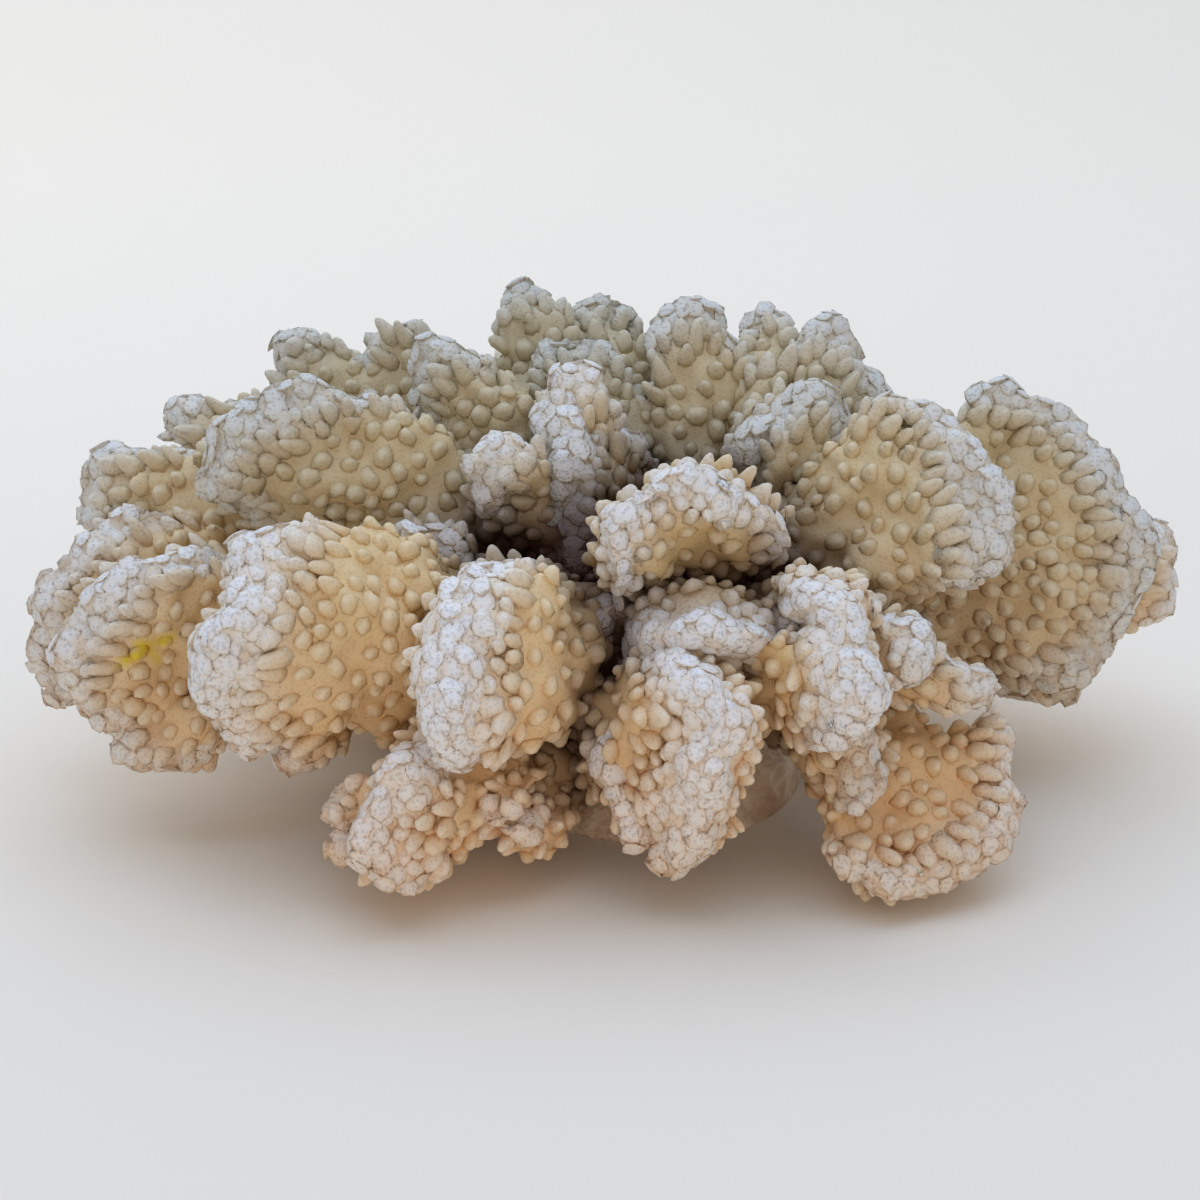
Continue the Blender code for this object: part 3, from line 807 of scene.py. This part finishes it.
def warts(site, dice):
    """Every wart of a lobe: site plus ring radius across, plus ring height along its own axis."""
    count = len(site["points"])
    flank = site["flank"]
    finger = 4.0 * flank * (1.0 - flank)
    grown = 0.55 + 0.45 * smooth_step(site["from_root"], 16.0, 40.0)
    radius = CREST_RADIUS + (FLANK_RADIUS - CREST_RADIUS) * flank
    radius = radius * dice.uniform(0.8, 1.22, count)
    tall = (0.6 + 4.4 * finger + 2.0 * flank) * dice.uniform(0.6, 1.25, count) * grown
    tall *= 1.0 - 0.75 * site["bare"] * flank
    lean = (0.1 + 1.1 * finger + 0.6 * flank) * dice.uniform(0.5, 1.4, count)
    axis = unit(site["outward"] + lean[:, None] * site["growth"])
    level = WART_LEVELS[None, :, None]
    facing = unit(site["outward"][:, None, :] * (1.0 - level) + axis[:, None, :] * level)
    across = unit(np.cross(facing, dice.normal(size=(count, 1, 3))))[:, :, None, :]
    third = np.cross(facing[:, :, None, :], across)
    angle = 2.0 * math.pi * np.arange(WART_COLUMNS) / WART_COLUMNS
    turn = dice.uniform(0.0, 2.0 * math.pi, (2, count, 1))
    uneven = 1.0 + 0.13 * np.cos(2.0 * (angle + turn[0])) + 0.08 * np.cos(3.0 * (angle + turn[1]))
    profile = DOME_RADII + flank[:, None] ** 0.5 * (FINGER_RADII - DOME_RADII)
    ring = profile[:, :, None] * radius[:, None, None] * uneven[:, None, :]
    spine = site["points"][:, None, :] + WART_LEVELS[:, None] * (axis * tall[:, None])[:, None, :]
    spine[:, 0] -= FOOT_DEPTH * site["outward"]
    rings = (
        spine[:, :, None, :]
        + (ring * np.cos(angle))[..., None] * across
        + (ring * np.sin(angle))[..., None] * third
    ).reshape(count, -1, 3)
    top = site["points"] + axis * (WART_TOP * tall)[:, None]
    bottom = site["points"] - site["outward"] * (1.5 * FOOT_DEPTH)
    points = np.concatenate([rings, top[:, None, :], bottom[:, None, :]], axis=1)
    points[..., 2] = np.maximum(points[..., 2], 0.3)
    per_wart = points.shape[1]
    triangles = wart_triangles()[None] + (np.arange(count) * per_wart)[:, None, None]
    share = np.concatenate([np.repeat(WART_LEVELS, WART_COLUMNS), [1.0, 0.0]])
    return {
        "points": points.reshape(-1, 3),
        "triangles": triangles.reshape(-1, 3),
        "wart": np.tile(share, count),
        "pale": np.repeat(site["pale"], per_wart),
        "from_heart": np.repeat(site["from_heart"], per_wart),
    }


# %% [markdown]
# Skin and warts of one branch go into one mesh. Six numbers ride on its points for the finish:
# crest is 1 along the white rims, wart is 1 at a wart's top, deep is 1 far inside the colony, tan
# says how much yellow-brown stain this branch took up, the next says how much grey-green painted
# shade it is given, most at the back of the colony, and smear is 1 on the dried yellow resin that
# has stuck to one of the fans at the left.

# %% Meshes of the branches
SMEAR_STROKES = [
    ((-117.0, -48.0, 51.0), (-106.0, -48.0, 56.0)),
    ((-113.0, -48.0, 55.0), (-110.0, -48.0, 50.0)),
]
USUAL_TAN = 0.5
# Grey-green painted shade for the branches that are not listed below.
USUAL_BACK_SHADE = 0.15
TAN = {
    "front_left_branch": 0.35,
    "front_left_foot": 0.35,
    "front_low_branch": 0.45,
    "front_middle_branch": 0.85,
    "left_front_branch": 0.5,
    "left_low_fan": 0.7,
    "left_outer_fan": 0.65,
    "left_upper_fan": 0.6,
    "left_high_fan": 0.6,
    "middle_crown": 0.3,
    "back_left_crown": 0.35,
    "back_crown": 0.35,
    "back_right_crown": 0.35,
    "right_high_branch": 0.45,
    "right_fan": 0.75,
    "right_foot": 1.0,
}
# How much grey-green painted shade each branch is given, most on those at the back.
BACK_SHADE = {
    "front_left_branch": 0.0,
    "front_left_foot": 0.0,
    "front_low_branch": 0.0,
    "front_middle_branch": 0.05,
    "left_front_branch": 0.05,
    "back_crown": 0.55,
    "back_left_crown": 0.45,
    "back_right_crown": 0.4,
    "left_upper_fan": 0.3,
    "left_high_fan": 0.35,
    "right_fan": 0.35,
    "right_high_branch": 0.25,
    "right_foot": 0.1,
}


def mesh_piece(name, points, triangles, values):
    """A smooth mesh object from arrays in millimetres, with one point attribute per value."""
    mesh = bpy.data.meshes.new(name)
    mesh.vertices.add(len(points))
    mesh.vertices.foreach_set("co", (points * MM).astype(np.float32).ravel())
    mesh.loops.add(3 * len(triangles))
    mesh.loops.foreach_set("vertex_index", triangles.astype(np.int32).ravel())
    mesh.polygons.add(len(triangles))
    mesh.polygons.foreach_set("loop_start", np.arange(0, 3 * len(triangles), 3, dtype=np.int32))
    mesh.update(calc_edges=True)
    mesh.validate()
    mesh.shade_smooth()
    for key, value in values.items():
        mesh.attributes.new(key, "FLOAT", "POINT").data.foreach_set("value", value.astype(np.float32))
    piece = bpy.data.objects.new(name, mesh)
    bpy.context.scene.collection.objects.link(piece)
    return piece


def resin_smear(points):
    """1 on two short crossing strokes of dried yellow resin on the low left fan, 0 elsewhere."""
    share = np.zeros(len(points))
    for start, end in SMEAR_STROKES:
        start, way = np.array(start), np.subtract(end, start)
        along = np.clip((points - start) @ way / (way @ way), 0.0, 1.0)
        away = np.linalg.norm((points - start - along[:, None] * way) * [1.0, 0.2, 1.0], axis=1)
        share = np.maximum(share, 1.0 - smooth_step(away, 0.9, 2.4))
    return share


def branch_piece(node, group, dice):
    """Joins the skins and warts of a branch's lobes."""
    parts = []
    for k, skin in enumerate(group):
        parts.append({**skin, "wart": np.zeros(len(skin["points"]))})
        parts.append(warts(sites[node, k], dice))
    offsets = np.cumsum([0] + [len(p["points"]) for p in parts[:-1]])
    points = np.vstack([p["points"] for p in parts])
    triangles = np.vstack([p["triangles"] + o for p, o in zip(parts, offsets)])
    joined = {name: np.concatenate([p[name] for p in parts]) for name in ("wart", "pale", "from_heart")}
    values = {
        "wart": joined["wart"],
        "crest": joined["pale"],
        "deep": 1.0 - smooth_step(joined["from_heart"], 36.0, 66.0),
        # grey-green painted shade of this branch
        "back_shade": np.full(len(points), BACK_SHADE.get(node, USUAL_BACK_SHADE)),
        "smear": resin_smear(points),
        "tan": np.full(len(points), TAN.get(node, USUAL_TAN)),
    }
    return mesh_piece(f"{node}_skin", points, triangles, values)


pieces = {}
for node, group in skins.items():
    pieces[node] = branch_piece(node, group, dice)
print("triangles of the branches:", sum(len(p.data.polygons) for p in pieces.values()))
print("largest branch:", max(len(p.data.polygons) for p in pieces.values()))

# %% [markdown]
# The trunk's skin is closed already and carries no warts, so its mesh needs no joining.

# %% The trunk's mesh
pieces["trunk"] = mesh_piece("trunk_skin", trunk_points, trunk_triangles, {})
print("trunk box, mm:", np.round(trunk_points.min(axis=0), 1), np.round(trunk_points.max(axis=0), 1))

# %% [markdown]
# Finishes. Colours are written as they look on a screen, so one function turns them to the linear
# values that a shader adds up. One helper adds a node with its settings and links, and the small
# ones after it put such nodes to the few uses that both finishes need.

# %% Colour and node helpers
def linear(hex_code, alpha=1.0):
    """An sRGB hex colour as linear values."""
    srgb = np.array([int(hex_code[k : k + 2], 16) for k in (1, 3, 5)]) / 255.0
    return (*np.where(srgb <= 0.04045, srgb / 12.92, ((srgb + 0.055) / 1.055) ** 2.4), alpha)


def add(tree, kind, inputs=None, **settings):
    """A new node; each input is given a value or linked from another node's socket."""
    node = tree.nodes.new(kind)
    for key, value in settings.items():
        setattr(node, key, value)
    for key, value in (inputs or {}).items():
        if isinstance(value, bpy.types.NodeSocket):
            tree.links.new(value, node.inputs[key])
        else:
            node.inputs[key].default_value = value
    return node


def blend_colours(tree, share, first, second):
    """A colour that goes from the first to the second as share goes from 0 to 1."""
    node = add(tree, "ShaderNodeMix", {0: share, 6: first, 7: second}, data_type="RGBA")
    return node.outputs[2]


def pattern(tree, kind, place, size_mm, output, **inputs):
    """A noise or cell texture whose features are about as wide as the size given in mm."""
    return add(tree, kind, {"Vector": place, "Scale": 1.0 / (size_mm * MM), **inputs}).outputs[output]


def spread(tree, value, low_high, ends, **settings):
    """The value carried from its low and high marks to the two ends, and held there beyond."""
    marks = {0: value, 1: low_high[0], 2: low_high[1], 3: ends[0], 4: ends[1]}
    return add(tree, "ShaderNodeMapRange", marks, **settings).outputs[0]


def combine(tree, operation, first, second):
    """Two values put together by a sum, product or other rule."""
    node = add(tree, "ShaderNodeMath", {0: first, 1: second}, operation=operation, use_clamp=True)
    return node.outputs[0]


# %% [markdown]
# Coral skeleton is aragonite, the mineral of pearl shell, laid down as a lace of cups about a
# millimetre wide, one for each polyp. It is a matt white. Light that bounces from wart to wart
# comes out warmer, so the skin between them is given a warm, light tint. Years in the sea and
# the air stain it yellow-brown between the branches, while the youngest growth, on the crests and
# wart tops, stays white. Deep in the colony it turns dark red-brown, which is partly that stain
# and partly painted shade. Near the ground it turns peach, a painted warm light bounced from the
# floor, and the white of the crests fades there as painted shade. The cup hollows are painted a
# little darker as painted shade, and the branches at the back are given a grey-green painted
# shade. Scattering of light inside the skeleton is left out, because it draws dark lines where
# warts cross the skin.

# %% Aragonite skeleton
CUP_MM = 1.0
GRAIN_MM = 1.6
PATCH_MM = 30.0
RELIEF_MM = 0.5


def aragonite(name):
    """Stained skin, paler warts, white crests, depths of stain and painted shade, painted bounce light and
    shade near the ground, painted shade in the cups and at the back, over a bump of small cups.
    """
    material = bpy.data.materials.new(name)
    material.use_nodes = True
    tree = material.node_tree
    shader = tree.nodes["Principled BSDF"]
    place = add(tree, "ShaderNodeTexCoord").outputs["Object"]
    value = {}
    for key in ("wart", "crest", "deep", "tan", "back_shade", "smear"):
        value[key] = add(tree, "ShaderNodeAttribute", attribute_name=key).outputs["Fac"]
    patches = pattern(tree, "ShaderNodeTexNoise", place, PATCH_MM, "Fac", Detail=4.0)
    grain = pattern(tree, "ShaderNodeTexNoise", place, GRAIN_MM, "Fac", Detail=3.0)
    cups = pattern(tree, "ShaderNodeTexVoronoi", place, CUP_MM, "Distance")
    walls = spread(tree, cups, (0.12, 0.5), (0.0, 1.0), interpolation_type="SMOOTHSTEP")
    height = add(tree, "ShaderNodeSeparateXYZ", {0: place}).outputs["Z"]
    low = spread(tree, height, (0.085, 0.02), (0.0, 1.0))

    tan_share = combine(tree, "MULTIPLY_ADD", patches, 0.6)
    tan_share.node.inputs[2].default_value = -0.3
    tan_share = combine(tree, "ADD", tan_share, value["tan"])
    skin = blend_colours(tree, tan_share, linear("#F1D9AA"), linear("#EAC98B"))
    # Peach near the ground: painted warm light bounced from the floor.
    skin = blend_colours(tree, combine(tree, "MULTIPLY", low, 0.75), skin, linear("#F0BF8A"))
    tops = combine(tree, "MULTIPLY", value["wart"], 0.5)
    warted = blend_colours(tree, tops, skin, linear("#F3E3C4"))
    tips = spread(tree, value["wart"], (0.0, 1.0), (0.6, 1.0))
    # The white of crests and wart tops fades towards the floor: painted shade near the ground.
    high = spread(tree, height, (0.005, 0.06), (0.35, 1.0))
    white = combine(tree, "MULTIPLY", value["crest"], combine(tree, "MULTIPLY", tips, high))
    crested = blend_colours(tree, white, warted, linear("#F5F6F8"))
    # Grey-green painted shade, strongest on the branches at the back.
    back_shaded = blend_colours(tree, value["back_shade"], crested, linear("#A7A996"))
    # Dark red-brown deep in the colony: partly a real stain, partly painted shade between the branches.
    stain_and_shade = combine(tree, "MULTIPLY", value["deep"], combine(tree, "ADD", patches, 0.62))
    stained_and_shaded = blend_colours(tree, stain_and_shade, back_shaded, linear("#43200F"))
    # The cup hollows are painted a little darker: painted shade in the cups.
    pits = spread(tree, walls, (0.0, 1.0), (0.15, 0.0))
    pit_shaded = blend_colours(tree, pits, stained_and_shaded, linear("#8A6A44"))
    colour = blend_colours(tree, value["smear"], pit_shaded, linear("#E3C52E"))
    tree.links.new(colour, shader.inputs["Base Color"])

    rough = spread(tree, grain, (0.0, 1.0), (0.5, 0.8))
    tree.links.new(rough, shader.inputs["Roughness"])
    relief = combine(tree, "MULTIPLY", walls, 0.5)
    relief = combine(tree, "ADD", relief, combine(tree, "MULTIPLY", grain, 0.5))
    strength = spread(tree, value["crest"], (0.0, 1.0), (0.35, 0.9))
    bump = add(tree, "ShaderNodeBump", {"Height": relief, "Strength": strength, "Distance": RELIEF_MM * MM})
    tree.links.new(bump.outputs[0], shader.inputs["Normal"])
    shader.inputs["IOR"].default_value = 1.5
    return material


skeleton = aragonite("dried_aragonite_skeleton")
for node, piece in pieces.items():
    if node != "trunk":
        piece.data.materials.append(skeleton)

# %% [markdown]
# The trunk is the oldest part. It was overgrown and bored by other life, so it is porous and
# grey-brown, with darker stain in patches, and no warts are left on it. It always stands in the
# shade of the branches, so its colours are given lighter than they look there.

# %% Encrusted old skeleton
MOTTLE_MM = 9.0
PIT_MM = 1.3
PIT_RELIEF_MM = 0.9


def old_skeleton(name):
    """Two browns, mottled by patches, with pits a little over a millimetre wide."""
    material = bpy.data.materials.new(name)
    material.use_nodes = True
    tree = material.node_tree
    shader = tree.nodes["Principled BSDF"]
    place = add(tree, "ShaderNodeTexCoord").outputs["Object"]
    patches = pattern(tree, "ShaderNodeTexNoise", place, MOTTLE_MM, "Fac", Detail=6.0)
    pits = pattern(tree, "ShaderNodeTexVoronoi", place, PIT_MM, "Distance")
    mottle = spread(tree, patches, (0.35, 0.65), (0.0, 1.0))
    colour = blend_colours(tree, mottle, linear("#C09C7C"), linear("#F0DCC0"))
    tree.links.new(colour, shader.inputs["Base Color"])
    deep_pits = combine(tree, "MULTIPLY", pits, 0.7)
    relief = combine(tree, "ADD", deep_pits, combine(tree, "MULTIPLY", patches, 0.5))
    bump = add(tree, "ShaderNodeBump", {"Height": relief, "Strength": 0.8, "Distance": PIT_RELIEF_MM * MM})
    tree.links.new(bump.outputs[0], shader.inputs["Normal"])
    shader.inputs["Roughness"].default_value = 0.85
    return material


pieces["trunk"].data.materials.append(old_skeleton("encrusted_old_skeleton"))

# %% [markdown]
# Each piece hangs from the body that carries it, which is the one root here, and the node that
# it stands in for is hidden.

# %% Each piece takes its node's place
for node, piece in pieces.items():
    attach(piece, "root")
    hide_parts(node)

# %% [markdown]
# The floor is a plain pale sheet that curves up behind the coral, as in a studio, so that no edge
# shows between floor and wall. It is made of one profile, drawn along X.

# %% Floor
FLOOR_FRONT = -1600.0
BEND_START = 700.0
BEND_RADIUS = 500.0
WALL_TOP = 1800.0
HALF_WIDTH = 2200.0
SWEEP_STEPS = 16


def studio_sweep():
    """A profile along X: flat floor, a quarter circle, and a wall, all far larger than the coral."""
    turn = np.linspace(0.0, math.pi / 2.0, SWEEP_STEPS)
    y = np.concatenate([[FLOOR_FRONT], BEND_START + BEND_RADIUS * np.sin(turn), [BEND_START + BEND_RADIUS]])
    z = np.concatenate([[0.0], BEND_RADIUS - BEND_RADIUS * np.cos(turn), [WALL_TOP]])
    x = np.linspace(-HALF_WIDTH, HALF_WIDTH, 3)
    points = np.stack(np.broadcast_arrays(x[None, :], y[:, None], z[:, None]), axis=-1).reshape(-1, 3)
    r, c = np.meshgrid(np.arange(len(y) - 1), np.arange(len(x) - 1), indexing="ij")
    a = (r * len(x) + c).ravel()
    lower = np.stack([a, a + 1, a + len(x)], axis=1)
    upper = np.stack([a + 1, a + len(x) + 1, a + len(x)], axis=1)
    return mesh_piece("studio_sweep", points, np.vstack([lower, upper]), {})


floor = studio_sweep()
paper = bpy.data.materials.new("matt_studio_paper")
paper.use_nodes = True
paper_shader = paper.node_tree.nodes["Principled BSDF"]
paper_shader.inputs["Base Color"].default_value = linear("#FBF2E2")
paper_shader.inputs["Roughness"].default_value = 0.9
floor.data.materials.append(paper)

# %% [markdown]
# The camera looks at the middle of the coral from the front and a little above, as the photograph
# does. A long lens keeps the near lobes from looking too large.

# %% Camera
TARGET = Vector((-5.0, 0.0, 48.5)) * MM
DISTANCE = 0.75
ELEVATION = math.radians(22.0)
back = Vector((0.0, -math.cos(ELEVATION), math.sin(ELEVATION)))
camera = bpy.data.objects.new("camera", bpy.data.cameras.new("camera"))
camera.data.lens = 90.0
camera.data.sensor_width = 36.0
camera.location = TARGET + back * DISTANCE
camera.rotation_euler = (-back).to_track_quat("-Z", "Y").to_euler()
bpy.context.scene.collection.objects.link(camera)
bpy.context.scene.camera = camera

# %% [markdown]
# The light is soft and cool from above, as from an open sky, which turns the white crests faintly
# blue. A weak warm light near the floor fills the undersides, a small one brightens the wall
# behind, and the room gives the rest.

# %% Lights
def soft_light(name, place, size, power, colour, target=TARGET):
    """A square area light, in metres and watts, that looks at its target."""
    lamp = bpy.data.lights.new(name, "AREA")
    lamp.shape = "SQUARE"
    lamp.size = size
    lamp.energy = power
    lamp.color = linear(colour)[:3]
    light = bpy.data.objects.new(name, lamp)
    light.location = place
    light.rotation_euler = (Vector(target) - Vector(place)).to_track_quat("-Z", "Y").to_euler()
    bpy.context.scene.collection.objects.link(light)
    return light


soft_light("sky_light", (-0.1, 0.3, 1.3), 2.2, 18.0, "#C8DCFC")
soft_light("low_bounce", (0.1, -1.3, 0.12), 1.2, 4.0, "#FFD6A8")
soft_light("wall_light", (-0.7, 0.35, 0.8), 0.5, 1.3, "#FFF6EA", (-0.3, 1.2, 0.35))
world = bpy.data.worlds.new("room")
world.use_nodes = True
room = world.node_tree.nodes["Background"]
room.inputs["Color"].default_value = linear("#E4ECFA")
room.inputs["Strength"].default_value = 0.5
bpy.context.scene.world = world
bpy.context.scene.view_settings.view_transform = "Standard"
